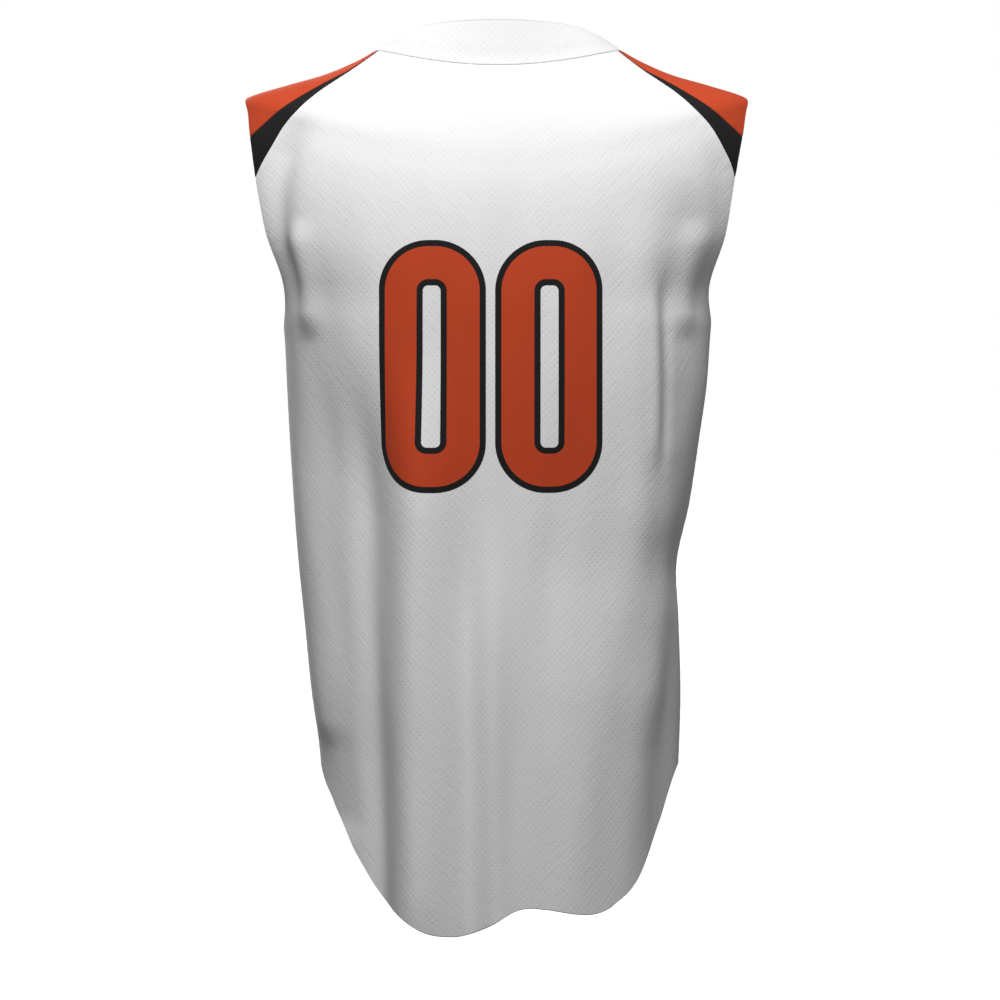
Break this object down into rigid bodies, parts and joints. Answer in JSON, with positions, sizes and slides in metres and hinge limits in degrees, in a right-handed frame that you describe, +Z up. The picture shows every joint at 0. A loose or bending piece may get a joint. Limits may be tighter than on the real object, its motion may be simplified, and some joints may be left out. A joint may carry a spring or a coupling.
{
  "type": "sleeveless baseball jersey",
  "caption": "White sleeveless button-front baseball jersey with orange shoulder insets, black tapered insets below them, a white neckband and a shirt-tail hem, filled out.",
  "frame": {"origin": "middle of the neck opening, at the height where the jersey lies highest on the wearer's shoulders", "axes": "+Z up, +X towards the wearer's left, -Y towards the front"},
  "size_m": [0.4334, 0.2608, 0.7725],
  "materials": {
    "white_knit": "fine dimpled polyester mesh knit, white, matt",
    "orange_knit": "the same knit, orange",
    "black_knit": "the same knit, black",
    "button": "white polyester button, satin"
  },
  "bodies": {
    "root": {"back": "white_knit", "front_left": "white_knit", "front_right": "white_knit", "placket": "white_knit", "neckband": "white_knit", "shoulder_left": "orange_knit", "shoulder_right": "orange_knit", "crescent_back_left": "black_knit", "crescent_back_right": "black_knit", "crescent_front_left": "black_knit", "crescent_front_right": "black_knit", "button_1": "button", "button_2": "button", "button_3": "button", "button_4": "button", "button_5": "button", "button_6": "button"}
  },
  "joints": []
}
